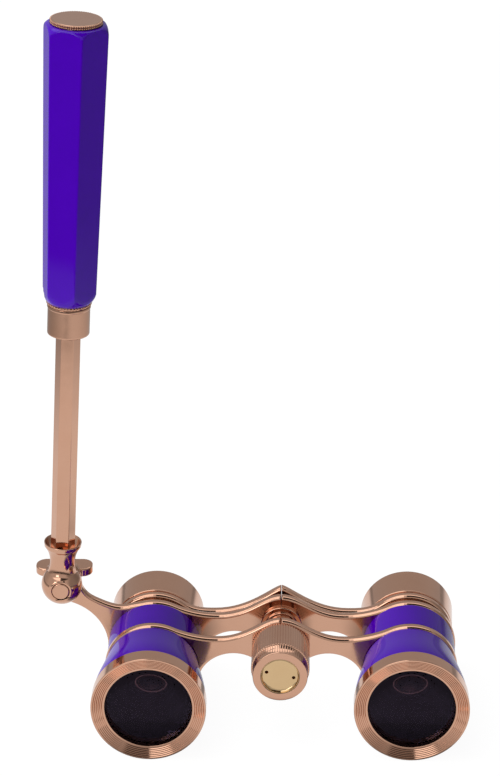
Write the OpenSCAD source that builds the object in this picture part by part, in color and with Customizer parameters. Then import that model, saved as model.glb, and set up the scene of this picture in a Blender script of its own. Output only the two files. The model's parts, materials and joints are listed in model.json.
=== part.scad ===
// Folding opera glass on a telescopic side handle.
// Every piece is drawn in the optical frame: X to the right, Y back from the objectives towards
// the eyes, Z up, origin midway between the two optical axes at the objectives' front faces.
// placed() then stands the whole glass on the ground, centred on its bounding box.

/* [Telescopes] */
// Distance between the two optical axes
axis_spacing = 72.8; // [72:0.2:74]
// Length from the objectives' front faces to the eyecups' rear faces
glass_len = 56.6; // [56:0.2:58]
// Radius of an objective rim
rim_r = 16; // [15.8:0.1:16.4]
// Length of an objective rim
rim_len = 4.9; // [4.8:0.05:5]
// Radius of the clear opening in front of an objective lens
opening_r = 12.1; // [11.8:0.1:12.2]
// Radius of the enamelled sleeves between the bridges
sleeve_r = 13.2; // [13.1:0.05:13.3]
// Radius of an eyecup at its front
eyecup_front_r = 12.9; // [12.8:0.05:13.1]
// Radius of an eyecup at its rear
eyecup_rear_r = 13.4; // [13.2:0.05:13.6]

/* [Bridges] */
// Thickness of each bridge plate
plate_t = 2.9; // [2.6:0.1:3]
// Radius of the bridge rings round the barrels
ring_r = 13.5; // [13.45:0.05:13.6]
// Front face of the front bridge
front_plate_y = 22.75; // [22.6:0.05:22.9]
// Front face of the rear bridge
rear_plate_y = 36.4; // [36.3:0.05:36.5]
// Front face of the eyepiece bridge at rest
eye_plate_y = 42.3; // [42.2:0.05:42.5]
// Height of the bridges' peak above the optical axes
peak_z = 15.4; // [15.2:0.05:15.6]
// Height of the lowest stretch of the bridges' upper edge
valley_z = 9.3; // [9.1:0.05:9.5]
// Width of the clamping slit above the focusing spindle
slit_w = 0.3; // [0.25:0.05:0.5]

/* [Focusing] */
// Height of the focusing spindle above the optical axes
spindle_z = 6.7; // [6.6:0.1:6.9]
// Radius of the reeded part of the focus wheel
wheel_r = 8.2; // [8:0.1:8.4]
// Number of reeds round the focus wheel
reeds = 68; // [60:2:76]
// Front face of the focus wheel
wheel_front_y = 6.8; // [6.6:0.1:7]
// Radius of the screw that draws the eyepieces
screw_r = 2.45; // [2.4:0.01:2.46]

/* [Handle] */
// Lean of the handle towards the right at rest, in degrees
handle_lean = 3.3; // [0:0.1:5]
// Radius of the hinge ball
ball_r = 5.8; // [5.7:0.05:5.9]
// Width of the hexagonal rod across its flats
rod_flats = 5.95; // [5.7:0.05:6]
// Distance from the hinge to the top of the rod
rod_top = 94.8; // [94.2:0.2:95.2]
// Distance from the hinge to the lower end of the grip
grip_bottom = 87.5; // [87.4:0.05:87.6]
// Distance from the hinge to the upper end of the grip
grip_top = 165.7; // [165.4:0.1:166]
// Corner radius of the hexagonal grip at its lower end
grip_bottom_r = 7.7; // [7.5:0.05:7.8]
// Corner radius of the hexagonal grip at its upper end
grip_top_r = 9.15; // [9:0.05:9.3]
// Turn of the grip's hexagon against the rod's, in degrees
grip_turn = -15.2; // [-30:0.2:30]
// Length of the wing nut's blade
wing_len = 16.2; // [15:0.2:17]

/* [Hidden] */
$fn = 96;
cut = 0.5;
rose = [0.79, 0.61, 0.50];
pale_gold = [0.80, 0.68, 0.48];
purple = [0.29, 0.0, 0.66];
black = [0.08, 0.07, 0.09];
glass = [0.10, 0.08, 0.14];
steel = [0.75, 0.74, 0.72];

// Hinge of the handle, at the outer end of the rear bridge's arm
pivot = [-62.2, 21.33];
handle_y = 33.5;
stud_r = 1.5;
stud_end = 42.6;
nut_front = 39.6;
running = 0.05;
snug = 0.03;

axis_x = axis_spacing / 2;
x_right = axis_x + rim_r;
x_left = pivot[0] - wing_len / 2;
stand_shift = [-(x_right + x_left) / 2, -glass_len / 2, rim_r];

// Barrel tube, draw tube and the lenses in them
tube_r = 12.6;
tube_bore = 11.78;
land_r = 13;
land_end = 9.4;
lens_r = 13;
tube_front = 5.9;
draw_r = 11.7;
draw_bore = 11;
draw_front = 26;
draw_rear = 53.5;
eye_lens_r = 7.5;
eye_lens_rear = 52;

// Upper edges of the bridges: control points of two Bezier curves from the peak to the ring
valley_x = 17.8;
fixed_edge = [[0, peak_z], [5.5, peak_z], [9.5, valley_z], [valley_x, valley_z], [22.5, valley_z]];
eye_valley = [19, 7.7];
eye_edge = [[0, peak_z - 0.1], [3.2, 14.4], [9.5, eye_valley[1]], eye_valley, [22, eye_valley[1]]];
join_pull = 4.2;
arch_r = 10.3;
arch_z = -5.7;
rear_arch_z = -6.2;
boss_r = 8;
eye_boss_r = 7;
eye_ring_r = eyecup_front_r - 0.05;
eye_r = 5.3;
bushing_r = 4;

// Focus wheel, its nut tube and the screw
collar_r = 7.65;
collar_len = 4.1;
wheel_rear = front_plate_y - 0.15;
nut_r = 3.33;
nut_end = rear_plate_y + plate_t + 0.65;
thread_bore = screw_r + running;
cap_y = wheel_front_y + 1;
cap_r = 5.35;
cavity_r = 3.6;
cavity_end = 17.8;
screw_front = 13.25;
groove_y = rear_plate_y + plate_t + 0.05;
clip_t = 0.5;

// Stations along the handle, measured from the hinge
bowl_floor = 11.7;
bowl_r = 3.6;
cup_rim = 13.8;
cup_r = 5.3;
ferrule_bottom = 77.5;
ferrule_top = 86.4;
spigot_end = 90;
spigot_r = 4.9;
cap_plug = 162.5;
cap_top = 166.9;
grip_bore = spigot_r + snug;

function bezier(p, s) =
    pow(1 - s, 3) * p[0] + 3 * pow(1 - s, 2) * s * p[1]
    + 3 * (1 - s) * s * s * p[2] + pow(s, 3) * p[3];
function bezier_points(p, n) = [for (i = [0:n]) bezier(p, i / n)];
function arc_points(centre, r, from, to, n) =
    [for (i = [0:n]) let (a = from + (to - from) * i / n) centre + r * [cos(a), sin(a)]];
// Depth of a spherical surface of radius curve at distance r from its axis
function sag(curve, r) = curve - sqrt(curve * curve - r * r);

// Outline of a bridge's web: from the peak along the upper edge into the ring, and back under
// the arch into the boss, with the left half a mirror image of the right
function web_half(ring, edge, angle, arch) =
    let (join = [axis_x, 0] + ring * [cos(angle), sin(angle)],
         last_handle = join - join_pull * [sin(angle), -cos(angle)])
    concat(
        bezier_points([edge[0], edge[1], edge[2], edge[3]], 16),
        bezier_points([edge[3], edge[4], last_handle, join], 10),
        [[axis_x, 5], [axis_x - 4, -3]],
        arc_points(arch, arch_r, 16, 138, 20)
    );
function both_halves(half) =
    concat(half, [for (i = [len(half) - 1:-1:1]) [-half[i][0], half[i][1]]]);

// Webs of the three bridges, and the arm on the rear bridge
front_web = web_half(ring_r, fixed_edge, 115.9, [axis_x - 23, arch_z]);
rear_web = web_half(ring_r, fixed_edge, 115.9, [axis_x - 23, rear_arch_z]);
eye_web = web_half(eye_ring_r, eye_edge, 127.9, [axis_x - 22.3, arch_z]);
arm_bend = [-52.4, 14.1];
arm_web = concat(
    bezier_points([[-57.3, 20], [-56.4, 16.6], [-54.9, 15.3], arm_bend], 10),
    bezier_points([arm_bend, [-49.5, 12.7], [-46.5, 11.2], [-43.2, 12.4]], 10),
    [[-38, 13.4], [-axis_x, 8], [-axis_x - 5.6, 0]],
    arc_points([-64.9, -0.9], 15.1, 6, 74, 14),
    [[pivot[0], 17]]
);

module placed() translate(stand_shift) children();
module left() translate([-axis_x, 0, 0]) children();
module right() translate([axis_x, 0, 0]) children();
module on_spindle() translate([0, 0, spindle_z]) children();
module on_pivot() translate([pivot[0], 0, pivot[1]]) children();
module along_handle() translate([pivot[0], handle_y, pivot[1]]) rotate([0, handle_lean, 0]) children();

// Solid of revolution about Y from [radius, depth] points
module turned(points) rotate([-90, 0, 0]) rotate_extrude() polygon(points);
// Round bar, and a round hole, along Y
module bar(r, from, to) translate([0, from, 0]) rotate([-90, 0, 0]) cylinder(h = to - from, r = r);
// Flat plate from an outline drawn in X and Z
module plate(from, thickness) translate([0, from + thickness, 0]) rotate([90, 0, 0])
    linear_extrude(thickness) children();
module tube(r, bore, from, to) difference() {
    bar(r, from, to);
    bar(bore, from - cut, to + cut);
}
// Biconvex lens, or a biconcave one where the curves are negative
module lens(r, front, rear, front_curve, rear_curve) turned(concat(
    [for (i = [0:8]) [r * i / 8, front + sign(front_curve)
        * (sag(abs(front_curve), r * i / 8) - sag(abs(front_curve), r))]],
    [for (i = [8:-1:0]) [r * i / 8, rear - sign(rear_curve)
        * (sag(abs(rear_curve), r * i / 8) - sag(abs(rear_curve), r))]]
));

// Slit and sight notch that let the plate be clamped on the spindle
module clamp_cut(y) plate(y - cut, plate_t + 2 * cut) {
    translate([-slit_w / 2, spindle_z]) square([slit_w, peak_z]);
    polygon([[-0.5, peak_z + 0.2], [0.5, peak_z + 0.2], [0, peak_z - 0.8]]);
}
module bridge(y, ring, web, boss, barrel_hole, spindle_hole) difference() {
    back = y + plate_t;
    union() {
        plate(y, plate_t) polygon(both_halves(web));
        left() bar(ring, y, back);
        right() bar(ring, y, back);
        on_spindle() bar(boss, y, back);
        children();
    }
    left() bar(barrel_hole, y - cut, back + cut);
    right() bar(barrel_hole, y - cut, back + cut);
    on_spindle() bar(spindle_hole, y - cut, back + cut);
    clamp_cut(y);
}

module front_bridge() placed() color(rose)
    bridge(front_plate_y, ring_r, front_web, boss_r, tube_r + snug, bushing_r + snug);

// Rear bridge, with the arm that carries the handle's hinge
module rear_bridge() placed() color(rose) difference() {
    bridge(rear_plate_y, ring_r, rear_web, boss_r, tube_r + snug, bushing_r + snug) {
        plate(rear_plate_y, plate_t) polygon(arm_web);
        on_pivot() bar(eye_r, rear_plate_y, rear_plate_y + plate_t);
    }
    on_pivot() bar(stud_r + running, rear_plate_y - cut, rear_plate_y + plate_t + cut);
}
module eyepiece_bridge() placed() color(rose)
    bridge(eye_plate_y, eye_ring_r, eye_web, eye_boss_r, draw_r + snug, screw_r + 0.02);

// Barrel: an inner tube that carries the rings, and two enamelled sleeves threaded over it
module inner_tube() difference() {
    union() {
        bar(tube_r, tube_front, rear_plate_y + plate_t);
        bar(land_r, tube_front, land_end);
    }
    bar(tube_bore, tube_front - cut, rear_plate_y + plate_t + cut);
}
module front_sleeve() {
    front = rim_len + snug;
    back = front_plate_y - snug;
    flare = bezier_points([[rim_r - 0.2, front], [rim_r - 0.25, 9.5], [14.2, 15], [sleeve_r, back]], 14);
    bore = tube_r + snug;
    turned(concat(flare, [[bore, back], [bore, 14.5], [14.1, 10.2], [14.1, front]]));
}
module rear_sleeve()
    tube(sleeve_r, tube_r + snug, front_plate_y + plate_t + snug, rear_plate_y - snug);
module left_inner_tube() placed() left() color(black) inner_tube();
module right_inner_tube() placed() right() color(black) inner_tube();
module left_front_sleeve() placed() left() color(purple) front_sleeve();
module right_front_sleeve() placed() right() color(purple) front_sleeve();
module left_rear_sleeve() placed() left() color(purple) rear_sleeve();
module right_rear_sleeve() placed() right() color(purple) rear_sleeve();

// Objective cell: rim with a stepped face, lens seat and a skirt screwed on the inner tube
module objective_cell() {
    edge = 0.15;
    steps = 6;
    step_r = 0.48;
    step_y = 0.12;
    land = 0.7;
    stairs = [for (i = [0:steps - 1], k = [0, 1]) [rim_r - land - i * step_r, (i + k) * step_y]];
    turned(concat(
        [[rim_r, rim_len - edge], [rim_r, edge], [rim_r - edge, 0]],
        stairs,
        [[opening_r + 0.1, steps * step_y], [opening_r, steps * step_y + 0.1], [opening_r, 2.4],
         [lens_r + snug, 2.4], [lens_r + snug, land_end], [13.9, land_end], [13.9, rim_len],
         [rim_r - edge, rim_len]]
    ));
}
module objective_lens() lens(lens_r, 2.6, 4.6, 80, 50);
module lens_ring() tube(lens_r, 11.9, 4.92, tube_front - 0.1);
module left_objective_cell() placed() left() color(rose) objective_cell();
module right_objective_cell() placed() right() color(rose) objective_cell();
module left_objective_lens() placed() left() color(glass) objective_lens();
module right_objective_lens() placed() right() color(glass) objective_lens();
module left_lens_ring() placed() left() color(black) lens_ring();
module right_lens_ring() placed() right() color(black) lens_ring();

// Eyepiece: a draw tube in the barrel with the eye lens at its rear, closed by the eyecup
module draw_tube() tube(draw_r, draw_bore, draw_front, draw_rear);
module eyecup() {
    front = eye_plate_y + plate_t + snug;
    seat = draw_rear + snug;
    bore = draw_r + snug;
    rear_edge = arc_points([eyecup_rear_r - 0.5, glass_len - 0.5], 0.5, 0, 90, 5);
    turned(concat(
        [[bore, front], [eyecup_front_r - 0.3, front], [eyecup_front_r, front + 0.3]],
        rear_edge,
        [[11.8, glass_len], [11.3, glass_len - 0.3], [9.6, seat + 0.7], [9.6, seat], [bore, seat]]
    ));
}
// Cell in the rear end of the draw tube: lens seat behind, funnel towards the eye
module eye_lens_cell() {
    front = 47.6;
    outer = draw_bore - snug;
    seat_r = eye_lens_r + snug;
    turned([
        [outer, front], [outer, draw_rear], [9.4, draw_rear], [6.9, eye_lens_rear + 0.35],
        [6.9, eye_lens_rear], [seat_r, eye_lens_rear], [seat_r, front]
    ]);
}
module eye_lens() lens(eye_lens_r, 49, eye_lens_rear - snug, -60, -40);
module eye_lens_ring() tube(eye_lens_r, 6.5, 47.7, 48.97);
module left_draw_tube() placed() left() color(rose) draw_tube();
module right_draw_tube() placed() right() color(rose) draw_tube();
module left_eyecup() placed() left() color(rose) eyecup();
module right_eyecup() placed() right() color(rose) eyecup();
module left_eye_lens_cell() placed() left() color(black) eye_lens_cell();
module right_eye_lens_cell() placed() right() color(black) eye_lens_cell();
module left_eye_lens() placed() left() color(glass) eye_lens();
module right_eye_lens() placed() right() color(glass) eye_lens();
module left_eye_lens_ring() placed() left() color(black) eye_lens_ring();
module right_eye_lens_ring() placed() right() color(black) eye_lens_ring();

// Fixed bushing through both bridges, in which the wheel's nut tube turns
module spindle_bushing() placed() on_spindle() color(rose) difference() {
    union() {
        bar(bushing_r, front_plate_y + 0.05, rear_plate_y + plate_t);
        bar(5.9, rear_plate_y - 1.1, rear_plate_y - snug);
        bar(4.7, rear_plate_y - 2, rear_plate_y - 1);
    }
    bar(nut_r + 0.07, front_plate_y - cut, rear_plate_y + plate_t + cut);
}

// Focus wheel: smooth collar, reeded grip and the nut tube behind them, in one piece
module reeded_disc() {
    depth = 0.25;
    plate(wheel_front_y + collar_len - 0.1, wheel_rear - wheel_front_y - collar_len + 0.1)
        polygon([for (i = [0:2 * reeds - 1])
            let (r = wheel_r - depth * (i % 2), a = 180 * i / reeds) r * [cos(a), sin(a)]]);
}
module focus_wheel() placed() on_spindle() color(rose) difference() {
    reed_front = wheel_front_y + collar_len;
    union() {
        intersection() {
            reeded_disc();
            turned([[0, reed_front], [collar_r + 0.1, reed_front], [wheel_r + 0.1, reed_front + 0.5],
                    [wheel_r + 0.1, wheel_rear - 0.2], [wheel_r - 0.2, wheel_rear], [0, wheel_rear]]);
        }
        turned([[0, wheel_front_y], [collar_r - 0.2, wheel_front_y], [collar_r, wheel_front_y + 0.2],
                [collar_r, reed_front + 0.2], [0, reed_front + 0.2]]);
        bar(nut_r, wheel_rear - 0.5, nut_end);
    }
    bar(cap_r + snug, wheel_front_y - cut, cap_y + 1.2);
    bar(cavity_r, cap_y + 1, cavity_end);
    bar(thread_bore, cavity_end - cut, nut_end + cut);
    tube(nut_r + 1, nut_r - 0.4, groove_y, groove_y + clip_t + 0.02);
}
// Dished closing disc in the wheel's face, with two holes for a pin spanner
module wheel_cap() placed() on_spindle() color(pale_gold) difference() {
    flat = 4.45;
    dish = 0.8;
    lip = wheel_front_y + 0.15;
    turned(concat(
        [[0, cap_y], [flat, cap_y]],
        [for (a = [7.5:7.5:90]) [flat + dish * sin(a), cap_y - dish + dish * cos(a)]],
        [[flat + dish, lip], [cap_r, lip], [cap_r, cap_y + 1.15], [0, cap_y + 1.15]]
    ));
    rotate([0, 13, 0]) for (side = [-1, 1])
        translate([3.85 * side, 0, 0]) bar(0.5, cap_y - cut, cap_y + 1.15 + cut);
}
// Open clip in the groove at the end of the nut tube
module wheel_clip() placed() on_spindle() color(steel) difference() {
    tube(3.9, nut_r - 0.38, groove_y + 0.01, groove_y + clip_t);
    translate([0, groove_y - cut, 0]) rotate([0, 40, 0]) cube([5, 2, 5]);
}
module focus_screw() placed() on_spindle() color(steel) difference() {
    union() {
        bar(screw_r, screw_front, eye_plate_y + plate_t + 0.1);
        turned([[0, eye_plate_y + plate_t + 0.02], [3.5, eye_plate_y + plate_t + 0.02],
                [3.5, eye_plate_y + plate_t + 0.9], [2.9, eye_plate_y + plate_t + 1.4],
                [0, eye_plate_y + plate_t + 1.4]]);
    }
    bar(1.25, screw_front - cut, screw_front + 4);
}
// Screw whose head keeps the focus screw from leaving the wheel
module stop_screw() placed() on_spindle() color(steel) difference() {
    union() {
        bar(3.2, screw_front - 1.35, screw_front - 0.05);
        bar(1.2, screw_front - 0.1, screw_front + 3.5);
    }
    translate([-0.4, screw_front - 1.35 - cut, -4]) cube([0.8, cut + 0.6, 8]);
}

// Handle hinge: ball with a neck and a cup, cut flat in front and against the arm
module handle_socket() placed() color(rose) difference() {
    union() {
        along_handle() sphere(r = ball_r);
        along_handle() rotate_extrude() polygon(concat(
            [[0, 2], [4.6, 2]],
            bezier_points([[4.3, 3.6], [3.2, 6], [3.1, 9.5], [cup_r - 0.1, 12.4]], 12),
            arc_points([cup_r - 0.2, cup_rim - 0.4], 0.2, -20, 90, 5),
            bezier_points([[cup_r - 0.35, cup_rim - 0.3], [4.6, 12.7], [4.2, 12.1], [bowl_r, bowl_floor]], 8),
            [[0, bowl_floor]]
        ));
    }
    back = rear_plate_y - 0.1;
    translate([pivot[0] - 10, back, pivot[1] - 10]) cube([20, 10, 17.5]);
    front = handle_y - 4.9;
    translate([pivot[0] - 10, front - 10, pivot[1] - 10]) cube([20, 10, 20]);
    on_pivot() bar(2.55, front - cut, front + 0.9);
    on_pivot() bar(stud_r + snug, front, back + cut);
    along_handle() translate([0, 0, 4.5]) cylinder(h = 10, r = 1.6 + snug);
}
// Stud with a flush round head, through the ball and the arm into the wing nut
module pivot_stud() placed() on_pivot() color(rose) {
    front = handle_y - 4.9;
    turned([[0, front - 0.1], [2.2, front - 0.1], [2.45, front + 0.1], [2.45, front + 0.88],
            [stud_r, front + 0.88], [stud_r, stud_end - 0.3], [stud_r - 0.3, stud_end], [0, stud_end]]);
}
module friction_washer() placed() on_pivot() color(steel)
    tube(3.6, stud_r + 0.1, rear_plate_y + plate_t + 0.04, nut_front - 0.04);
module wing_nut() placed() on_pivot() color(rose) {
    blade_front = nut_front + 0.1;
    blade_back = blade_front + 6.8;
    blade_t = 2.4;
    corner = 3;
    dome = blade_front + 3.6;
    difference() {
        union() {
            turned([[0, nut_front], [3.4, nut_front], [3.4, nut_front + 1.8], [3, nut_front + 2.2],
                    [3, dome], [2.5, dome + 0.6], [0, dome + 0.6]]);
            translate([-wing_len / 2 + corner, blade_front, -blade_t / 2])
                cube([wing_len - 2 * corner, blade_back - blade_front, blade_t]);
            translate([-wing_len / 2, blade_front + corner, -blade_t / 2])
                cube([wing_len, blade_back - blade_front - 2 * corner, blade_t]);
            for (x = [-1, 1], y = [blade_front + corner, blade_back - corner])
                translate([x * (wing_len / 2 - corner), y, -blade_t / 2]) cylinder(h = blade_t, r = corner);
        }
        bar(stud_r + running, nut_front - cut, stud_end + 0.2);
    }
}

// Hexagonal prism whose flats face front and back
module hexagon(flats, from, to)
    translate([0, 0, from]) cylinder(h = to - from, r = flats / 2 / cos(30), $fn = 6);
module handle_rod() placed() along_handle() color(rose) {
    hexagon(rod_flats, bowl_floor + snug, rod_top);
    translate([0, 0, 5]) cylinder(h = bowl_floor + 1 - 5, r = 1.6);
}
// Collar at the rod's upper end that guides it in the liner and stops it at the ferrule
module rod_stop() placed() along_handle() color(steel) difference() {
    translate([0, 0, spigot_end + 0.2]) cylinder(h = rod_top - spigot_end - 0.2, r = 4.2);
    hexagon(rod_flats + 2 * snug, spigot_end, rod_top + cut);
}
module ferrule() placed() along_handle() color(rose) difference() {
    r = 5.8;
    rotate_extrude() polygon(concat(
        [[0, spigot_end], [0, ferrule_bottom]],
        arc_points([r - 1, ferrule_bottom + 1], 1, -90, 0, 6),
        [[r, ferrule_top - 0.1], [r - 0.1, ferrule_top], [spigot_r, ferrule_top], [spigot_r, spigot_end]]
    ));
    hexagon(rod_flats + 2 * running, ferrule_bottom - cut, spigot_end + cut);
}
module beaded_ring() placed() along_handle() color(rose) {
    middle = (ferrule_top + grip_bottom) / 2;
    half = (grip_bottom - ferrule_top) / 2 - snug;
    rotate_extrude() polygon(concat(
        [[spigot_r + snug, middle + half], [spigot_r + snug, middle - half]],
        arc_points([6 - half * 0.6, middle], half, -70, 70, 10)
    ));
}
// Tapered hexagon with both ends turned round, and a bore for the liner
module handle_grip() placed() along_handle() color(purple) {
    low_end = [grip_bottom_r - 1.4, grip_bottom];
    high_end = [grip_top_r - 2.1, grip_top];
    difference() {
        intersection() {
            rotate([0, 0, grip_turn]) translate([0, 0, grip_bottom])
                cylinder(h = grip_top - grip_bottom, r1 = grip_bottom_r, r2 = grip_top_r, $fn = 6);
            rotate_extrude() polygon(concat(
                [[0, grip_bottom], low_end, low_end + [1.5, 2.7], high_end + [2.1, -8]],
                bezier_points([high_end + [2.1, -2.7], high_end + [2.05, -1.1],
                    high_end + [1.25, 0], high_end], 8),
                [[0, grip_top]]
            ));
        }
        translate([0, 0, grip_bottom - cut]) cylinder(h = grip_top - grip_bottom + 2 * cut, r = grip_bore);
    }
}
module handle_liner() placed() along_handle() color(steel) difference() {
    translate([0, 0, spigot_end + snug]) cylinder(h = cap_plug - spigot_end - 2 * snug, r = spigot_r);
    translate([0, 0, spigot_end - cut]) cylinder(h = cap_plug - spigot_end + 2 * cut, r = 4.3);
}
// Cap on the grip's upper end, with two bead lines round its edge
module end_cap() placed() along_handle() color(rose) {
    bead = 0.28;
    r = 7;
    low = grip_top + snug;
    rotate_extrude() polygon(concat(
        [[0, cap_plug], [spigot_r, cap_plug], [spigot_r, low], [6.4, low]],
        arc_points([r - bead, low + bead], bead, -90, 60, 6),
        arc_points([r - bead, cap_top - bead], bead, -60, 90, 6),
        [[0, cap_top]]
    ));
}

front_bridge();
rear_bridge();
left_inner_tube();
right_inner_tube();
left_front_sleeve();
right_front_sleeve();
left_rear_sleeve();
right_rear_sleeve();
left_objective_cell();
right_objective_cell();
left_objective_lens();
right_objective_lens();
left_lens_ring();
right_lens_ring();
spindle_bushing();
friction_washer();
eyepiece_bridge();
left_draw_tube();
right_draw_tube();
left_eyecup();
right_eyecup();
left_eye_lens_cell();
right_eye_lens_cell();
left_eye_lens();
right_eye_lens();
left_eye_lens_ring();
right_eye_lens_ring();
focus_screw();
stop_screw();
focus_wheel();
wheel_cap();
wheel_clip();
handle_socket();
pivot_stud();
handle_rod();
rod_stop();
wing_nut();
ferrule();
beaded_ring();
handle_grip();
handle_liner();
end_cap();
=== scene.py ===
"""Looks of a folding opera glass on a telescopic side handle.

Sizes are in millimetres in the glass's own optical frame: X to the right, Y back from the
objectives to the eyes, Z up, origin midway between the two optical axes at the objectives'
front faces. STAND carries that frame into the row frame, in metres.
"""
import json
import math

import bmesh
import bpy
import numpy as np
from mathutils import Matrix, Vector
from mathutils.geometry import delaunay_2d_cdt


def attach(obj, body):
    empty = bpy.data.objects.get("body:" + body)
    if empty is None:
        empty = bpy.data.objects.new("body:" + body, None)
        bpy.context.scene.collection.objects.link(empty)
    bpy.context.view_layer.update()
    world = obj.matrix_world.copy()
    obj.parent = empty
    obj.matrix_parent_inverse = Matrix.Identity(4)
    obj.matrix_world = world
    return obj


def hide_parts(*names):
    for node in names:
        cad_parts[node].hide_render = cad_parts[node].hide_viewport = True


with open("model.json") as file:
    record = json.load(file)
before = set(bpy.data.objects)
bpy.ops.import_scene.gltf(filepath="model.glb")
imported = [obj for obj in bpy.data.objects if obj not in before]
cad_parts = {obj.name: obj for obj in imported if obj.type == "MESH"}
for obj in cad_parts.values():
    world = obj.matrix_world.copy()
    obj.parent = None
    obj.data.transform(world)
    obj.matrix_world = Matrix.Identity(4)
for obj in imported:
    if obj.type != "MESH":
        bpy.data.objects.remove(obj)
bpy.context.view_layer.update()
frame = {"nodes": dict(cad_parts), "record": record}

STAND = Matrix.Scale(0.001, 4) @ Matrix.Translation((8.95, -28.3, 16.0))
AXIS_X = 36.4
SPINDLE_Z = 6.7
PIVOT = Vector((-62.2, 33.5, 21.33))
HANDLE_LEAN = math.radians(3.3)

# Front and rear faces of the three plates, along Y
FRONT_PLATE = (22.75, 25.65)
REAR_PLATE = (36.4, 39.3)
SLIDING_PLATE = (42.3, 45.2)

RIM_RINGS = 6
WHEEL_REEDS = 68
THREAD_STARTS = 4
THREAD_LEAD = 6
GRIP_BOTTOM = 87.5
GRIP_TOP = 165.7
GRIP_LENGTH = 78.2
GRIP_TURN = math.radians(-15.2)


# Camera and stage

def aim_camera():
    """The photograph's own viewpoint, from a fit to rims, eyecups, wheel, end cap and handle."""
    focal_px, height_px, sensor_mm = 2910.26, 776, 36
    place = Vector((0.01943, -0.72168, 0.43049))
    pitch, yaw, roll = math.radians(24.544), math.radians(-1.480), math.radians(-0.517)
    ahead = Vector((math.sin(yaw) * math.cos(pitch), math.cos(yaw) * math.cos(pitch),
                    -math.sin(pitch)))
    level = Vector((math.cos(yaw), -math.sin(yaw), 0))
    up = level.cross(ahead)
    right = math.cos(roll) * level + math.sin(roll) * up
    top = -math.sin(roll) * level + math.cos(roll) * up
    lens = bpy.data.cameras.new("camera")
    lens.sensor_fit = "VERTICAL"
    lens.sensor_height = sensor_mm
    lens.lens = focal_px / height_px * sensor_mm
    camera = bpy.data.objects.new("camera", lens)
    axes = Matrix((right, top, -ahead)).transposed().to_4x4()
    camera.matrix_world = Matrix.Translation(place) @ axes
    bpy.context.collection.objects.link(camera)
    bpy.context.scene.camera = camera


aim_camera()


# Materials

def linear(code):
    """An sRGB hex value as linear RGBA."""
    def channel(pair):
        value = int(pair, 16) / 255
        return value / 12.92 if value <= 0.04045 else ((value + 0.055) / 1.055) ** 2.4
    return (channel(code[1:3]), channel(code[3:5]), channel(code[5:7]), 1.0)


def add(tree, kind, inputs=None, **settings):
    """Adds a node with its settings; an input is a value, or the output that feeds it."""
    node = tree.nodes.new(kind)
    for name, value in settings.items():
        setattr(node, name, value)
    for name, value in (inputs or {}).items():
        if isinstance(value, bpy.types.NodeSocket):
            tree.links.new(value, node.inputs[name])
        else:
            node.inputs[name].default_value = value
    return node


def surface(name, sockets):
    """A Principled material with these sockets set."""
    material = bpy.data.materials.new(name)
    material.use_nodes = True
    tree = material.node_tree
    tree.nodes.clear()
    shader = add(tree, "ShaderNodeBsdfPrincipled", sockets)
    add(tree, "ShaderNodeOutputMaterial", {"Surface": shader.outputs["BSDF"]})
    return material, tree, shader


def speckle(tree, size_mm, stretch=(1, 1, 1), detail=2.0):
    """Noise on the piece's own coordinates, with grains about size_mm across."""
    place = add(tree, "ShaderNodeTexCoord")
    turned = add(tree, "ShaderNodeMapping", {"Vector": place.outputs["Object"], "Scale": stretch})
    return add(tree, "ShaderNodeTexNoise",
               {"Vector": turned.outputs["Vector"], "Scale": 1000 / size_mm, "Detail": detail})


def plated(name, light, deep, roughness, wave_mm=0.004):
    """Polished plating over cast metal.

    The eye sees a mirror that is a little soft: long shallow waves from hand buffing bend the
    reflections, and thinner plating shows as slightly deeper patches some millimetres wide.
    """
    material, tree, shader = surface(name, {"Metallic": 1.0})
    patches = speckle(tree, 9, detail=3)
    tint = add(tree, "ShaderNodeMix", {"Factor": patches.outputs["Fac"], "A": linear(light),
                                       "B": linear(deep)}, data_type="RGBA")
    tree.links.new(tint.outputs["Result"], shader.inputs["Base Color"])
    haze = speckle(tree, 2.5, detail=4)
    spread = add(tree, "ShaderNodeMapRange", {"Value": haze.outputs["Fac"], "From Min": 0.3,
                                              "From Max": 0.7, "To Min": roughness * 0.75,
                                              "To Max": roughness * 1.3})
    tree.links.new(spread.outputs["Result"], shader.inputs["Roughness"])
    waves = speckle(tree, 4, detail=1)
    bump = add(tree, "ShaderNodeBump", {"Height": waves.outputs["Fac"], "Strength": 1.0,
                                        "Distance": wave_mm / 1000})
    tree.links.new(bump.outputs["Normal"], shader.inputs["Normal"])
    return material


def gloss_coat(name, colour, shade, sockets, peel_mm):
    """A clear gloss layer over a deep violet ground.

    The eye sees colour from depth and a sharp reflection on top. Sprayed or fired colour flows a
    little as it sets, which gives the reflection a faint orange peel a millimetre or two wide.
    """
    material, tree, shader = surface(name, sockets)
    cloud = speckle(tree, 14, detail=2)
    tint = add(tree, "ShaderNodeMix", {"Factor": cloud.outputs["Fac"], "A": linear(colour),
                                       "B": linear(shade)}, data_type="RGBA")
    tree.links.new(tint.outputs["Result"], shader.inputs["Base Color"])
    peel = speckle(tree, 1.6, detail=1)
    bump = add(tree, "ShaderNodeBump", {"Height": peel.outputs["Fac"], "Strength": 1.0,
                                        "Distance": peel_mm / 1000})
    tree.links.new(bump.outputs["Normal"], shader.inputs["Coat Normal"])
    return material


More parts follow.
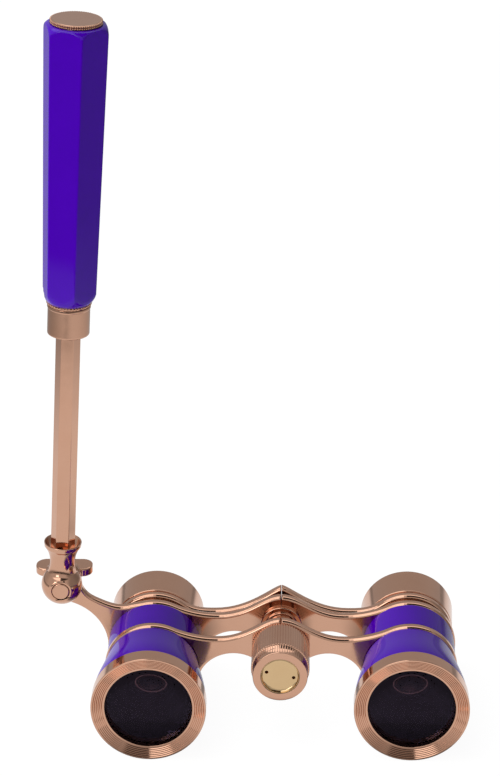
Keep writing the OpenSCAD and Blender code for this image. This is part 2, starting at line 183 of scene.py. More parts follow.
def turned_metal(name, colour, roughness, groove_mm, metallic=1.0, sheen=0.5):
    """Metal as it leaves the lathe or the drawing die: fine rings that soften the reflection."""
    material, tree, shader = surface(name, {"Metallic": metallic, "Base Color": linear(colour),
                                            "Specular IOR Level": sheen})
    rings = speckle(tree, groove_mm, stretch=(0.15, 1, 0.15), detail=2)
    spread = add(tree, "ShaderNodeMapRange", {"Value": rings.outputs["Fac"],
                                              "To Min": roughness * 0.7,
                                              "To Max": roughness * 1.3})
    tree.links.new(spread.outputs["Result"], shader.inputs["Roughness"])
    bump = add(tree, "ShaderNodeBump", {"Height": rings.outputs["Fac"], "Strength": 0.6,
                                        "Distance": 0.00001})
    tree.links.new(bump.outputs["Normal"], shader.inputs["Normal"])
    return material


rose_gold = plated("polished_rose_gold_plate", "#D0A48C", "#C99A80", 0.10)
pale_gold = plated("polished_pale_gold_plate", "#D6B88E", "#CCAB80", 0.12)
enamel = gloss_coat("fired_violet_enamel", "#4A04A6", "#3E009C",
                    {"Roughness": 0.5, "IOR": 1.5, "Specular IOR Level": 0.0,
                     "Coat Weight": 0.6, "Coat Roughness": 0.02, "Coat IOR": 1.34}, 0.0015)
lacquer = gloss_coat("sprayed_violet_lacquer", "#4A00B4", "#4400AA",
                     {"Roughness": 0.5, "IOR": 1.5, "Specular IOR Level": 0.0,
                      "Coat Weight": 1.0, "Coat Roughness": 0.02, "Coat IOR": 1.34}, 0.0012)
black_tube = turned_metal("matt_black_anodised_aluminium", "#0C0B0E", 0.6, 0.3, metallic=0.0,
                          sheen=0.08)
steel = turned_metal("turned_stainless_steel", "#B9B6B0", 0.28, 0.25)
aluminium = turned_metal("drawn_aluminium", "#C9C9CA", 0.32, 0.3)


def coated_lens():
    """Ground glass with an antireflection coating, which takes most of its reflection away.

    The eye looks through it into the black tube, and sees only a weak violet-grey reflection.
    """
    material, tree, shader = surface("coated_optical_glass", {
        "Base Color": linear("#A8A2B8"), "IOR": 1.52, "Transmission Weight": 1.0,
        "Specular Tint": linear("#82718A")})
    wipe = speckle(tree, 6, stretch=(1, 1, 3), detail=3)
    spread = add(tree, "ShaderNodeMapRange", {"Value": wipe.outputs["Fac"], "From Min": 0.4,
                                              "From Max": 0.75, "To Min": 0.0, "To Max": 0.01})
    tree.links.new(spread.outputs["Result"], shader.inputs["Roughness"])
    return material


lens_glass = coated_lens()

FINISHES = {
    "rose_gold": rose_gold, "pale_gold": pale_gold, "barrel_enamel": enamel,
    "grip_lacquer": lacquer, "lens_glass": lens_glass, "black_anodised": black_tube,
    "bright_steel": steel, "liner_aluminium": aluminium,
}
SLOT_OF = {part["node"]: part["material_slot"] for part in frame["record"]["subparts"]}
BODY_OF = {node: body for body, nodes in frame["record"]["behaviour"]["bodies"].items()
           for node in nodes}


def dress_cad_nodes():
    """Gives each carried-over CAD node the finish of its slot."""
    for node, piece in frame["nodes"].items():
        piece.data.materials.clear()
        piece.data.materials.append(FINISHES[SLOT_OF[node]])


dress_cad_nodes()


# Making pieces

def settle(piece, node):
    """The finished piece takes the CAD node's place, body and finish."""
    if not piece.data.materials:
        piece.data.materials.append(FINISHES[SLOT_OF[node]])
    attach(piece, BODY_OF[node])
    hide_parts(node)
    return piece


def plain_mesh(piece):
    """Turns a piece with live modifiers into a plain mesh, with its place in the mesh."""
    bpy.context.view_layer.update()
    graph = bpy.context.evaluated_depsgraph_get()
    mesh = bpy.data.meshes.new_from_object(piece.evaluated_get(graph), depsgraph=graph)
    piece.modifiers.clear()
    old = piece.data
    piece.data = mesh
    bpy.data.meshes.remove(old)
    mesh.name = piece.name
    return piece


def even_shading(piece, sharp=None):
    """Weights normals by face area, so flats shade flat and only their rounded edges turn.

    Edges over the sharp angle, in degrees, stay sharp.
    """
    for polygon in piece.data.polygons:
        polygon.use_smooth = True
    if sharp:
        piece.data.set_sharp_from_angle(angle=math.radians(sharp))
    weighting = piece.modifiers.new("even shading", "WEIGHTED_NORMAL")
    weighting.mode = "FACE_AREA"
    weighting.weight = 100
    weighting.keep_sharp = sharp is not None
    return plain_mesh(piece)


def on_axis(x=0.0, z=0.0):
    """Frame for pieces turned about a line along Y: its own Z runs back along the line."""
    return STAND @ Matrix.Translation((x, 0, z)) @ Matrix.Rotation(-math.pi / 2, 4, "X")


def on_handle():
    """Frame for pieces along the handle: its own Z runs up from the hinge."""
    return STAND @ Matrix.Translation(PIVOT) @ Matrix.Rotation(HANDLE_LEAN, 4, "Y")


def curve(points, count):
    """Points of a cubic curve with these four control points."""
    first, second, third, last = (Vector(p) for p in points)
    found = []
    for i in range(count + 1):
        s = i / count
        found.append(tuple((1 - s) ** 3 * first + 3 * (1 - s) ** 2 * s * second
                           + 3 * (1 - s) * s * s * third + s ** 3 * last))
    return found


def outline(corners, steps=4):
    """Closed profile of (radius, station) points; a third number rounds that corner."""
    found = []
    for i, corner in enumerate(corners):
        if len(corner) == 2:
            found.append(corner)
            continue
        here = Vector(corner[:2])
        before = Vector(corners[i - 1][:2]) - here
        after = Vector(corners[(i + 1) % len(corners)][:2]) - here
        start = here + before.normalized() * min(corner[2], before.length * 0.45)
        end = here + after.normalized() * min(corner[2], after.length * 0.45)
        for k in range(steps + 1):
            s = k / steps
            found.append(tuple((1 - s) ** 2 * start + 2 * (1 - s) * s * here + s * s * end))
    return found


def turn(name, profile, place, angles=192):
    """A mesh of rings about the frame's Z, one for each profile point.

    A radius is a number, or a function of the angle where the section isn't round. angles is
    the number of points round a ring, or a list of them.
    """
    if isinstance(angles, int):
        angles = [2 * math.pi * k / angles for k in range(angles)]
    count = len(angles)
    shape = bmesh.new()
    rings = []
    for radius, station in profile:
        if radius == 0:
            rings.append([shape.verts.new((0, 0, station))] * count)
            continue
        ring = []
        for angle in angles:
            r = radius(angle) if callable(radius) else radius
            ring.append(shape.verts.new((r * math.cos(angle), r * math.sin(angle), station)))
        rings.append(ring)
    on_the_axis = profile[0][0] == 0 and profile[-1][0] == 0
    pairs = list(zip(rings, rings[1:])) + ([] if on_the_axis else [(rings[-1], rings[0])])
    for low, high in pairs:
        for k in range(count):
            corners = [low[k], low[(k + 1) % count], high[(k + 1) % count], high[k]]
            corners = list(dict.fromkeys(corners))
            if len(corners) > 2:
                shape.faces.new(corners)
    bmesh.ops.recalc_face_normals(shape, faces=shape.faces)
    mesh = bpy.data.meshes.new(name)
    shape.to_mesh(mesh)
    shape.free()
    mesh.transform(place)
    if place.determinant() < 0:
        mesh.flip_normals()
    piece = bpy.data.objects.new(name, mesh)
    bpy.context.collection.objects.link(piece)
    return piece


def softened(node, name, width, segments):
    """A copy of a CAD node with its loose triangles merged and its sharp edges rounded."""
    merge_m, flat_limit, sharp_limit = 2e-6, math.radians(0.6), math.radians(32)
    source = frame["nodes"][node].data
    mesh = bpy.data.meshes.new(name)
    mesh.from_pydata([v.co for v in source.vertices], [],
                     [tuple(p.vertices) for p in source.polygons])
    shape = bmesh.new()
    shape.from_mesh(mesh)
    bmesh.ops.remove_doubles(shape, verts=shape.verts, dist=merge_m)
    bmesh.ops.dissolve_limit(shape, angle_limit=flat_limit, verts=shape.verts,
                             edges=shape.edges)
    weight = shape.edges.layers.float.new("bevel_weight_edge")
    for edge in shape.edges:
        if edge.is_manifold and edge.calc_face_angle(0) > sharp_limit:
            edge[weight] = 1.0
    shape.to_mesh(mesh)
    shape.free()
    piece = bpy.data.objects.new(name, mesh)
    bpy.context.collection.objects.link(piece)
    for polygon in mesh.polygons:
        polygon.use_smooth = True
    bevel = piece.modifiers.new("rounded edges", "BEVEL")
    bevel.limit_method = "WEIGHT"
    bevel.width = width / 1000
    bevel.segments = segments
    bevel.use_clamp_overlap = False
    bevel.miter_outer = "MITER_ARC"
    return settle(even_shading(piece), node)


def hexagon(across, corner, turned=0.0):
    """Radius of a hexagon with rounded corners, as a function of the angle."""
    flat = across / 2
    centre = (flat - corner) / math.cos(math.pi / 6)
    limit = math.atan2(corner / 2, centre + corner * math.cos(math.pi / 6))

    def radius(angle):
        off = abs((angle - turned + math.pi / 6) % (math.pi / 3) - math.pi / 6)
        if off < limit:
            return centre * math.cos(off) + math.sqrt(corner ** 2 - (centre * math.sin(off)) ** 2)
        return flat / math.cos(math.pi / 6 - off)
    return radius


def hexagon_angles(limit, turned=0.0, across=6):
    """Angles that fall on a hexagon's rounded corners and evenly over its flats."""
    found = []
    for k in range(6):
        corner = turned + k * math.pi / 3
        found += [corner + limit * s for s in (-1, -0.6, -0.2, 0.2, 0.6)]
        found += [corner + limit + (math.pi / 3 - 2 * limit) * i / across for i in range(across)]
    return found


# Objective end

def objective_end(side, x):
    """Rim with six turned rings, lens and the two enamelled sleeves of one barrel."""
    place = on_axis(x)
    stairs = []
    for i in range(RIM_RINGS):
        r = 15.3 - 0.48 * i
        stairs += [(r + 0.14, 0.12 * i), (r - 0.05, 0.12 * i + 0.2), (r - 0.11, 0.12 * i + 0.12)]
    rim = turn(f"{side}_stepped_rim", outline(
        [(16, 4.9, 0.15), (16, 0, 0.22)] + stairs
        + [(12.2, 0.72, 0.08), (12.1, 2.4), (13.03, 2.4), (13.03, 9.4), (13.9, 9.4),
           (13.9, 4.9)], steps=3), place, 224)
    settle(even_shading(rim, 30), f"{side}_objective_cell")

    sag = [80 - math.sqrt(80 ** 2 - (13 * i / 16) ** 2) for i in range(17)]
    rear = [50 - math.sqrt(50 ** 2 - (13 * i / 16) ** 2) for i in range(17)]
    lens = turn(f"{side}_front_lens",
                [(13 * i / 16, 2.6 + sag[i] - sag[16]) for i in range(17)]
                + [(13 * i / 16, 4.6 - rear[i] + rear[16]) for i in range(16, -1, -1)], place)
    settle(even_shading(lens), f"{side}_objective_lens")

    flare = curve([(15.8, 4.93), (15.75, 9.5), (14.2, 15), (13.2, 22.72)], 32)
    front = turn(f"{side}_flared_sleeve", outline(
        flare + [(12.63, 22.72), (12.63, 14.5), (14.1, 10.2), (14.1, 4.93)]), place)
    settle(even_shading(front), f"{side}_front_sleeve")

    rear_sleeve = turn(f"{side}_short_sleeve", outline(
        [(13.2, 25.68, 0.06), (13.2, 36.37, 0.06), (12.63, 36.37), (12.63, 25.68)]), place)
    settle(even_shading(rear_sleeve), f"{side}_rear_sleeve")


# Eyepiece end

def eyepiece_end(side, x):
    """Eyecup and draw tube of one barrel."""
    place = on_axis(x)
    cup = turn(f"{side}_eye_cup", outline(
        [(11.73, 45.23), (12.9, 45.23, 0.3), (13.4, 56.6, 0.5), (11.8, 56.6, 0.3),
         (11.3, 56.3), (9.6, 54.23, 0.2), (9.6, 53.53), (11.73, 53.53)], steps=5), place)
    settle(even_shading(cup), f"{side}_eyecup")
    draw = turn(f"{side}_sliding_tube", outline(
        [(11.7, 26, 0.15), (11.7, 53.5, 0.1), (11, 53.5), (11, 26, 0.15)]), place, 160)
    settle(even_shading(draw), f"{side}_draw_tube")


for side, x in (("left", -AXIS_X), ("right", AXIS_X)):
    objective_end(side, x)
    eyepiece_end(side, x)


# Bridges, cast and then polished, so every edge is rolled over

def roll(x, z):
    """Radius of the rolled edge here: full on the outline, a broken edge in bores and slit."""
    in_bore = math.hypot(abs(x) - AXIS_X, z) < 12.75
    at_spindle = math.hypot(x, z - SPINDLE_Z) < 4.5
    in_slit = abs(x) < 0.45 and z > SPINDLE_Z
    at_stud = math.hypot(x - PIVOT.x, z - PIVOT.z) < 3
    broken, rolled = 0.11, 0.95
    return broken if in_bore or at_spindle or in_slit or at_stud else rolled


def face_loops(node, station):
    """Loops of (x, z) corners round the plate's flat face at this station, in millimetres.

    The slit over the spindle is drawn narrower than in the CAD.
    """
    slit_share = 0.4
    shape = bmesh.new()
    shape.from_mesh(frame["nodes"][node].data)
    shape.transform(STAND.inverted())
    bmesh.ops.remove_doubles(shape, verts=shape.verts, dist=0.002)
    flat = {f for f in shape.faces if all(abs(v.co.y - station) < 0.01 for v in f.verts)}
    after = {}
    for face in flat:
        for corner in face.loops:
            if not any(other in flat for other in corner.edge.link_faces if other != face):
                after[corner.vert] = corner.link_loop_next.vert
    loops = []
    while after:
        start, here = after.popitem()
        loop = [start]
        while here != start:
            loop.append(here)
            here = after.pop(here)
        loops.append([
            (v.co.x * (slit_share if abs(v.co.x) < 0.2 and v.co.z > SPINDLE_Z + 1 else 1), v.co.z)
            for v in loop])
    shape.free()
    return loops


def rolled_plate(node, name, front, rear):
    """A cast plate between two stations, with its edges rolled by the distance to its outline."""
    loops = face_loops(node, front)
    starts, ends, radii, points, edges = [], [], [], [], []
    for loop in loops:
        first = len(points)
        for here, onward in zip(loop, loop[1:] + loop[:1]):
            here, onward = np.array(here), np.array(onward)
            starts.append(here)
            ends.append(onward)
            radii.append(roll(*((here + onward) / 2)))
            count = max(1, math.ceil(np.linalg.norm(onward - here) / 0.35))
            points += [here + (onward - here) * i / count for i in range(count)]
        edges += [(i, i + 1) for i in range(first, len(points) - 1)] + [(len(points) - 1, first)]
    starts, ends, radii, rim = np.array(starts), np.array(ends), np.array(radii), np.array(points)
    along = ends - starts
    length2 = (along ** 2).sum(axis=1)

    def surface_at(p):
        """How far the rolled surface lies below the flat face, and its outward lean, there."""
        depths, leans = [], []
        for part in np.array_split(p, max(1, len(p) // 1500)):
            away = part[:, None, :] - starts
            share = np.clip((away * along).sum(axis=2) / length2, 0, 1)
            out = share[..., None] * along - away
            gap = np.linalg.norm(out, axis=2)
            inside = np.clip(radii - gap, 0, None)
            fall = radii - np.sqrt(np.clip(radii ** 2 - inside ** 2, 0, None))
            most = fall.argmax(axis=1)
            row = np.arange(len(part))
            depths.append(fall[row, most])
            unit = out[row, most] / np.maximum(gap[row, most], 1e-9)[:, None]
            leans.append(unit * (inside[row, most] / radii[most])[:, None])
        return np.concatenate(depths), np.concatenate(leans)

    def within(p):
        """Whether each point lies on the plate: a line from it crosses the outline unevenly."""
        found = []
        for part in np.array_split(p, max(1, len(p) // 1500)):
            low = starts[:, 1] <= part[:, None, 1]
            high = ends[:, 1] <= part[:, None, 1]
            rise = np.where(along[:, 1] == 0, 1e-9, along[:, 1])
            cross = starts[:, 0] + (part[:, None, 1] - starts[:, 1]) / rise * along[:, 0]
            found.append((((low != high) & (cross > part[:, None, 0])).sum(axis=1) % 2) == 1)
        return np.concatenate(found)

    rim_lean = np.zeros_like(rim)
    inward = []
    for a, b in edges:
        step = rim[b] - rim[a]
        normal = np.array((-step[1], step[0])) / np.linalg.norm(step)
        rim_lean[a] -= normal
        rim_lean[b] -= normal
        inward.append(((rim[a] + rim[b]) / 2, normal))
        for turned in (-0.5, 0.5):
            c, t = math.cos(turned), math.sin(turned)
            inward.append((rim[a], np.array((c * normal[0] - t * normal[1],
                                             t * normal[0] + c * normal[1]))))
    rim_lean /= np.linalg.norm(rim_lean, axis=1)[:, None]
    inner, own = [], []
    for angle in range(15, 91, 15):
        for base, side in inward:
            radius = roll(*base)
            if radius > 0.2 or angle % 45 == 0:
                inner.append(base + side * radius * (1 - math.cos(math.radians(angle))))
                own.append(radius * (1 - math.sin(math.radians(angle))))
    inner, own = np.array(inner), np.array(own)
    inner = inner[within(inner) & (surface_at(inner)[0] < own + 0.004)]
    inner = inner[np.unique(np.round(inner / 0.07).astype(int), axis=0, return_index=True)[1]]
    spots, _, faces, *_ = delaunay_2d_cdt([Vector(p) for p in np.concatenate((rim, inner))],
                                          edges, [], 0, 1e-6)
    spots = np.array(spots)
    middles = np.array([spots[list(face)].mean(axis=0) for face in faces])
    faces = [tuple(face) for face, on in zip(faces, within(middles)) if on]
    depth, lean = surface_at(spots)
    lean[:len(rim)] = rim_lean
    up = np.sqrt(np.clip(1 - (lean ** 2).sum(axis=1), 0, 1))

    count = len(spots)
    sides = {side for face in faces for side in zip(face, face[1:] + face[:1])}
    wall = [(j, i, i + count, j + count) for i, j in sides if (j, i) not in sides]
    corners = [(x, front + d, z) for (x, z), d in zip(spots, depth)]
    corners += [(x, rear - d, z) for (x, z), d in zip(spots, depth)]
    mesh = bpy.data.meshes.new(name)
    mesh.from_pydata(corners, [], faces + [tuple(i + count for i in face[::-1]) for face in faces]
                     + wall)
    for polygon in mesh.polygons:
        polygon.use_smooth = True
    mesh.normals_split_custom_set_from_vertices(
        [(x, -u, z) for (x, z), u in zip(lean, up)] + [(x, u, z) for (x, z), u in zip(lean, up)])
    mesh.transform(STAND)
    piece = bpy.data.objects.new(name, mesh)
    bpy.context.collection.objects.link(piece)
    return settle(piece, node)


rolled_plate("front_bridge", "front_scroll_bridge", *FRONT_PLATE)
rolled_plate("rear_bridge", "rear_scroll_bridge", *REAR_PLATE)
rolled_plate("eyepiece_bridge", "sliding_scroll_bridge", *SLIDING_PLATE)


# Focusing

def ringed(piece, bead, count, radius, stations, material):
    """Adds rings of beads to a turned piece, by Geometry Nodes."""
    tree = bpy.data.node_groups.new(f"{piece.name} rings", "GeometryNodeTree")
    tree.interface.new_socket("Geometry", in_out="INPUT", socket_type="NodeSocketGeometry")
    tree.interface.new_socket("Geometry", in_out="OUTPUT", socket_type="NodeSocketGeometry")
    named = {}
    for label, kind, value in (("Count", "NodeSocketInt", count),
                               ("Ring radius", "NodeSocketFloat", radius),
                               ("Bead radius", "NodeSocketFloat", bead)):
        named[label] = (tree.interface.new_socket(label, in_out="INPUT", socket_type=kind), value)
    given = add(tree, "NodeGroupInput").outputs
    joined = add(tree, "GeometryNodeJoinGeometry")
    tree.links.new(given["Geometry"], joined.inputs[0])
    small = add(tree, "GeometryNodeMeshIcoSphere", {"Radius": given["Bead radius"],
                                                    "Subdivisions": 2})
    smooth = add(tree, "GeometryNodeSetShadeSmooth", {"Geometry": small.outputs["Mesh"]})
    for station in stations:
        ring = add(tree, "GeometryNodeMeshCircle", {"Vertices": given["Count"],
                                                    "Radius": given["Ring radius"]})
        moved = add(tree, "GeometryNodeTransform", {"Geometry": ring.outputs["Mesh"],
                                                    "Translation": (0, 0, station)})
        placed = add(tree, "GeometryNodeInstanceOnPoints", {
            "Points": moved.outputs["Geometry"], "Instance": smooth.outputs["Geometry"]})
        tree.links.new(placed.outputs["Instances"], joined.inputs[0])
    real = add(tree, "GeometryNodeRealizeInstances", {"Geometry": joined.outputs["Geometry"]})
    finish = add(tree, "GeometryNodeSetMaterial", {"Geometry": real.outputs["Geometry"],
                                                   "Material": material})
    add(tree, "NodeGroupOutput", {"Geometry": finish.outputs["Geometry"]})
    modifier = piece.modifiers.new("rings", "NODES")
    modifier.node_group = tree
    for socket, value in named.values():
        modifier[socket.identifier] = value
    return plain_mesh(piece)


def focusing():
    """Wheel with its reeds and nut tube, the spindle's bushing and the threaded screw."""
    def reeded(crest):
        """Radius round the flat reeds with narrow grooves between them."""
        def radius(angle):
            across = abs((WHEEL_REEDS * angle / (2 * math.pi)) % 1 - 0.5) * 2
            return crest - 0.26 * max(0.0, (across - 0.55) / 0.45) ** 1.5
        return radius
    front = [(0.03 * i, reeded(7.66 + 0.5 * math.sin(math.pi / 10 * i))) for i in range(1, 6)]
    back = [(22.3, reeded(8.16)), (22.5, reeded(8.08)), (22.6, reeded(7.9))]
    wheel = turn("reeded_focus_wheel", outline(
        [(5.41, 6.8, 0.12), (7.65, 6.8, 0.25), (7.65, 10.85)])
        + [(r, 10.85 + t) for t, r in front] + [(reeded(8.16), 11.1 + 1.12 * i) for i in range(10)]
        + [(r, t) for t, r in back] + outline(
        [(3.33, 22.6), (3.33, 39.35), (2.93, 39.35), (2.93, 39.87), (3.33, 39.87),
         (3.33, 39.95, 0.05), (2.5, 39.95), (2.5, 17.8), (3.6, 17.8), (3.6, 9.0), (5.38, 9.0)]),
        on_axis(0, SPINDLE_Z), WHEEL_REEDS * 8)
    settle(even_shading(wheel), "focus_wheel")

    bushing = turn("spindle_sleeve", outline(
        [(3.4, 22.8), (4, 22.8, 0.12), (4, 34.4, 0.1), (4.7, 34.4, 0.2), (4.7, 35.3, 0.1),
         (5.9, 35.3, 0.3), (5.9, 36.37, 0.1), (4, 36.37), (4, 39.3, 0.1), (3.4, 39.3)]),
        on_axis(0, SPINDLE_Z), 128)
    settle(even_shading(bushing), "spindle_bushing")

    def thread(depth):
        """Radius round the thread at this depth."""
        def radius(angle):
            start = (THREAD_STARTS * (depth / THREAD_LEAD + angle / (2 * math.pi))) % 1
            return 2.43 - 0.32 * max(0.0, min(1.0, abs(start - 0.5) * 4 - 0.6))
        return radius
    turns = [(thread(13.4 + 0.125 * i), 13.4 + 0.125 * i) for i in range(240)]
    screw = turn("four_start_screw", [(1.25, 13.25), (2.1, 13.25)] + turns + [
        (2.43, 43.4), (2.43, 45.2), (3.4, 45.22), (3.5, 45.3), (3.5, 46), (3.35, 46.3),
        (2.9, 46.6), (0.01, 46.6), (0.01, 17.25), (1.25, 17.25)], on_axis(0, SPINDLE_Z), 72)
    settle(even_shading(screw), "focus_screw")


focusing()


# Handle

def handle():
    """Hinge, rod, ferrule, beads, grip and end cap."""
    place = on_handle()
    softened("handle_socket", "ball_and_cup_socket", 0.14, 2)
    stud = turn("flush_hinge_stud", outline(
        [(0, 28.5), (2.45, 28.5, 0.35), (2.45, 29.48), (1.5, 29.48), (1.5, 42.6, 0.3), (0, 42.6)]),
        on_axis(PIVOT.x, PIVOT.z), 96)
    settle(even_shading(stud), "pivot_stud")
    softened("wing_nut", "wing_nut_blade", 0.4, 4)

    edge = hexagon(5.95, 0.3)
    rod = turn("drawn_hexagonal_rod", [
        (0, 5), (1.5, 5), (1.6, 5.1), (1.6, 11.73), (hexagon(5.75, 0.3), 11.73), (edge, 11.83),
        (edge, 45), (edge, 94.6), (hexagon(5.6, 0.3), 94.8), (0, 94.8)], place,
        hexagon_angles(math.radians(2.6)))
    settle(even_shading(rod), "handle_rod")

    bore = hexagon(6.05, 0.2)
    ferrule = turn("polished_ferrule", outline(
        [(5.8, 77.5, 1.0), (5.8, 85.5), (5.97, 85.7, 0.1), (5.97, 86.4, 0.12), (4.9, 86.4),
         (4.9, 90)]) + [(bore, 90), (bore, 77.5)], place, 180)
    settle(even_shading(ferrule), "ferrule")

    ring = turn("beaded_collar", outline(
        [(4.95, 86.46), (5.85, 86.46, 0.15), (5.95, 86.9, 0.1), (5.85, 87.46, 0.15),
         (4.95, 87.46)]), Matrix.Identity(4), 120)
    ringed(even_shading(ring), 0.36, 43, 5.92, [87.05], rose_gold)
    ring.data.transform(place)
    settle(ring, "beaded_ring")

    grip()

    cap = turn("beaded_end_cap", outline(
        [(0, 162.5), (4.9, 162.5), (4.9, 165.73), (6.72, 165.73, 0.1), (6.72, 166.8, 0.1),
         (6.45, 166.86, 0.1), (6.4, 166.9), (0, 166.9)]), Matrix.Identity(4), 120)
    ringed(even_shading(cap), 0.29, 70, 6.72, [166.03, 166.58], rose_gold)
    cap.data.transform(place)
    settle(cap, "end_cap")


def grip():
    """Tapered hexagon with both ends turned round, and the bore for the liner."""
    profile = [(6.3, GRIP_BOTTOM), (6.8, 88.3), (7.3, 89.2), (7.8, 90.2), (8.3, 91.5), (8.9, 93.5)]
    profile += [(9.3, 93.5 + 66.6 * i / 12) for i in range(1, 13)]
    profile += curve([(9.15, 162.8), (9.1, 164.5), (8.3, GRIP_TOP), (7.05, GRIP_TOP)], 14)

    def section(limit, station):
        """The hexagon at this station, cut by the turned outline with a soft edge."""
        share = (station - GRIP_BOTTOM) / GRIP_LENGTH
        side = hexagon((7.7 + 1.45 * share) * math.sqrt(3), 0.5, GRIP_TURN)

        def radius(angle):
            flat = side(angle)
            blend = 0.18
            mix = max(blend - abs(flat - limit), 0) / blend
            return min(flat, limit) - mix * mix * blend / 4
        return radius
    rings = [(section(r, t), t) for r, t in profile]
    piece = turn("hexagonal_grip", rings + [(4.93, GRIP_TOP), (4.93, GRIP_BOTTOM)], on_handle(),
                 hexagon_angles(math.radians(2.2), GRIP_TURN, 16))
    settle(even_shading(piece), "handle_grip")


handle()


# Studio

def table():
    """White table that stays nearly white to the camera.

    What mirrors it sees painted light and shade: a painted pool of light that grows darker far
    away, painted dark in front, and painted shadow under the wheel and each barrel.
    """
    mesh = bpy.data.meshes.new("table")
    mesh.from_pydata([(-3, -3, -0.0002), (3, -3, -0.0002), (3, 3, -0.0002), (-3, 3, -0.0002)],
                     [], [(0, 1, 2, 3)])
    floor = bpy.data.objects.new("table", mesh)
    bpy.context.collection.objects.link(floor)
    material = bpy.data.materials.new("white_card_with_painted_shade")
    material.use_nodes = True
    tree = material.node_tree
    tree.nodes.clear()
    place = add(tree, "ShaderNodeTexCoord")
    away = add(tree, "ShaderNodeVectorMath", {0: place.outputs["Object"], 1: (-0.06, -0.03, 0)},
               operation="DISTANCE")
    spot = add(tree, "ShaderNodeSeparateXYZ", {"Vector": place.outputs["Object"]}).outputs
    off = add(tree, "ShaderNodeMath", {0: spot["X"], 1: 0.009}, operation="SUBTRACT")
    off = add(tree, "ShaderNodeMath", {0: off.outputs["Value"]}, operation="ABSOLUTE")
    wide = add(tree, "ShaderNodeMath", {0: off.outputs["Value"], 1: 0.0364},
               operation="SUBTRACT")
    wide = add(tree, "ShaderNodeMath", {0: wide.outputs["Value"]}, operation="ABSOLUTE")
    # Each change runs smoothly from low at the value start to high at the value end.
    change = {}
    # Painted light and shade, seen only in reflections: a painted pool of light that fades with
    # distance, painted dark in front, and painted shadows under the wheel and under each barrel,
    # between the below and behind limits.
    for name, value, start, end, low, high in (
            ("painted_pool", away.outputs["Value"], 0.16, 0.36, 0.97, 0.27),
            ("edge", spot["Y"], -0.285, -0.265, 0.03, 1.0),
            ("wheel", off.outputs["Value"], 0.0054, 0.0094, 0.75, 0.0),
            ("barrel", wide.outputs["Value"], 0.01, 0.02, 0.75, 0.0),
            ("below", spot["Y"], -0.048, -0.03, 0.0, 1.0),
            ("behind", spot["Y"], 0.03, 0.06, 1.0, 0.0)):
        change[name] = add(tree, "ShaderNodeMapRange", {
            "Value": value, "From Min": start, "From Max": end, "To Min": low, "To Max": high},
            interpolation_type="SMOOTHSTEP").outputs["Result"]
    # The painted pool of light, times the painted shadows under the wheel and barrels.
    lit = add(tree, "ShaderNodeMath", {0: change["painted_pool"], 1: change["edge"]},
              operation="MULTIPLY")
    under = add(tree, "ShaderNodeMath", {0: change["barrel"], 1: change["wheel"]},
                operation="ADD")
    shade = add(tree, "ShaderNodeMath", {0: change["below"], 1: change["behind"]},
                operation="MULTIPLY")
    shade = add(tree, "ShaderNodeMath", {0: shade.outputs["Value"], 1: under.outputs["Value"]},
                operation="MULTIPLY")
    shade = add(tree, "ShaderNodeMath", {0: 1.0, 1: shade.outputs["Value"]}, operation="SUBTRACT")
    lit = add(tree, "ShaderNodeMath", {0: lit.outputs["Value"], 1: shade.outputs["Value"]},
              operation="MULTIPLY")
    # The camera sees the table evenly white; glossy and transmission rays see the painted light
    # and shade.
    path = add(tree, "ShaderNodeLightPath")
    glow = add(tree, "ShaderNodeMix", {"Factor": path.outputs["Is Camera Ray"],
                                       "A": lit.outputs["Value"], "B": 1.06}, data_type="FLOAT")
    white = add(tree, "ShaderNodeEmission", {"Strength": glow.outputs["Result"]})
    matt = add(tree, "ShaderNodeBsdfDiffuse", {"Color": (0.85, 0.85, 0.85, 1)})
    mirrored = add(tree, "ShaderNodeMath", {0: path.outputs["Is Glossy Ray"],
                                            1: path.outputs["Is Transmission Ray"]},
                   operation="MAXIMUM")
    shown = add(tree, "ShaderNodeMath", {0: path.outputs["Is Camera Ray"],
                                         1: mirrored.outputs["Value"]}, operation="MAXIMUM")
    share = add(tree, "ShaderNodeMath", {0: shown.outputs["Value"], 1: 0.9}, operation="MULTIPLY")
    mixed = add(tree, "ShaderNodeMixShader", {"Fac": share.outputs["Value"]})
    tree.links.new(matt.outputs["BSDF"], mixed.inputs[1])
    tree.links.new(white.outputs["Emission"], mixed.inputs[2])
    add(tree, "ShaderNodeOutputMaterial", {"Surface": mixed.outputs["Shader"]})
    mesh.materials.append(material)


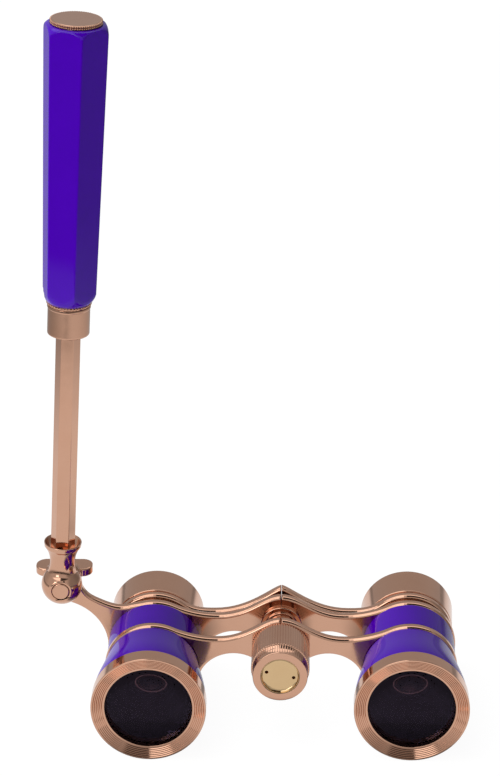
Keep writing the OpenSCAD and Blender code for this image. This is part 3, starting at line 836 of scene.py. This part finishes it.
def room():
    """Grey room. Overhead, bright panels to the left and behind, and a dark patch beside them."""
    world = bpy.data.worlds.new("studio")
    world.use_nodes = True
    tree = world.node_tree
    tree.nodes.clear()
    heading = add(tree, "ShaderNodeTexCoord")
    parts = add(tree, "ShaderNodeSeparateXYZ", {"Vector": heading.outputs["Generated"]}).outputs
    off = add(tree, "ShaderNodeMath", {0: parts["X"], 1: 0.28}, operation="SUBTRACT")
    off = add(tree, "ShaderNodeMath", {0: off.outputs["Value"]}, operation="ABSOLUTE")
    # Each change runs smoothly from low at the value start to high at the value end.
    change = {}
    for name, value, start, end, low, high in (
            ("level", parts["Y"], -0.3, 0.5, 0.65, 0.47),
            ("right", parts["X"], 0.45, 0.85, 1.0, 0.5),
            ("over", parts["Z"], 0.62, 0.72, 0.0, 1.0),
            ("middle", off.outputs["Value"], 0.33, 0.42, 1.0, 0.0),
            ("back", parts["Y"], 0.18, 0.28, 0.0, 1.0),
            ("inner", parts["X"], -0.1, -0.03, 1.3, 0.0),
            ("outer", parts["X"], -0.8, -0.66, 0.0, 1.0),
            ("soft", parts["X"], -0.35, 0.35, 1.4, 0.0)):
        change[name] = add(tree, "ShaderNodeMapRange", {
            "Value": value, "From Min": start, "From Max": end, "To Min": low, "To Max": high},
            interpolation_type="SMOOTHSTEP").outputs["Result"]
    ahead = add(tree, "ShaderNodeMath", {0: 1.0, 1: change["back"]}, operation="SUBTRACT")
    dark = add(tree, "ShaderNodeMath", {0: change["over"], 1: change["middle"]},
               operation="MULTIPLY")
    dark = add(tree, "ShaderNodeMath", {0: dark.outputs["Value"], 1: ahead.outputs["Value"]},
               operation="MULTIPLY")
    dark = add(tree, "ShaderNodeMath", {0: dark.outputs["Value"], 1: -0.93, 2: 1.0},
               operation="MULTIPLY_ADD")
    grey = add(tree, "ShaderNodeMath", {0: change["level"], 1: change["right"]},
               operation="MULTIPLY")
    grey = add(tree, "ShaderNodeMath", {0: grey.outputs["Value"], 1: dark.outputs["Value"]},
               operation="MULTIPLY")
    panel = add(tree, "ShaderNodeMath", {0: change["inner"], 1: change["outer"]},
                operation="MULTIPLY")
    panel = add(tree, "ShaderNodeMath", {0: panel.outputs["Value"], 1: change["back"]},
                operation="MAXIMUM")
    grey = add(tree, "ShaderNodeMath", {0: panel.outputs["Value"], 1: change["over"],
                                        2: grey.outputs["Value"]}, operation="MULTIPLY_ADD")
    path = add(tree, "ShaderNodeLightPath")
    mirrored = add(tree, "ShaderNodeMath", {0: path.outputs["Is Glossy Ray"],
                                            1: path.outputs["Is Transmission Ray"]},
                   operation="MAXIMUM")
    fill = add(tree, "ShaderNodeMix", {"Factor": mirrored.outputs["Value"], "A": change["soft"],
                                       "B": grey.outputs["Value"]}, data_type="FLOAT")
    seen = add(tree, "ShaderNodeMix", {"Factor": path.outputs["Is Camera Ray"],
                                       "A": fill.outputs["Result"], "B": 1.0}, data_type="FLOAT")
    sky = add(tree, "ShaderNodeBackground", {"Color": (1, 1, 1, 1),
                                             "Strength": seen.outputs["Result"]})
    add(tree, "ShaderNodeOutputWorld", {"Surface": sky.outputs["Background"]})
    bpy.context.scene.world = world


def softbox(name, direction, distance, size, brightness, mirrored=True):
    """A rectangular softbox that faces the glass, as bright as white paper times brightness."""
    light = bpy.data.lights.new(name, "AREA")
    light.shape = "RECTANGLE"
    light.size, light.size_y = size
    light.energy = brightness * math.pi * size[0] * size[1]
    lamp = bpy.data.objects.new(name, light)
    middle = Vector((0, 0, 0.06))
    place = middle + Vector(direction).normalized() * distance
    turn_to = (middle - place).to_track_quat("-Z", "Y").to_matrix().to_4x4()
    lamp.matrix_world = Matrix.Translation(place) @ turn_to
    lamp.visible_glossy = mirrored
    bpy.context.collection.objects.link(lamp)


table()
room()
softbox("left softbox", (-0.42, 0.05, 0.9), 0.9, (0.55, 1.0), 1.5, mirrored=False)
softbox("front softbox", (-0.55, -0.8, 0.3), 1.1, (0.4, 0.5), 2.6)

bpy.context.scene.view_settings.view_transform = "Standard"
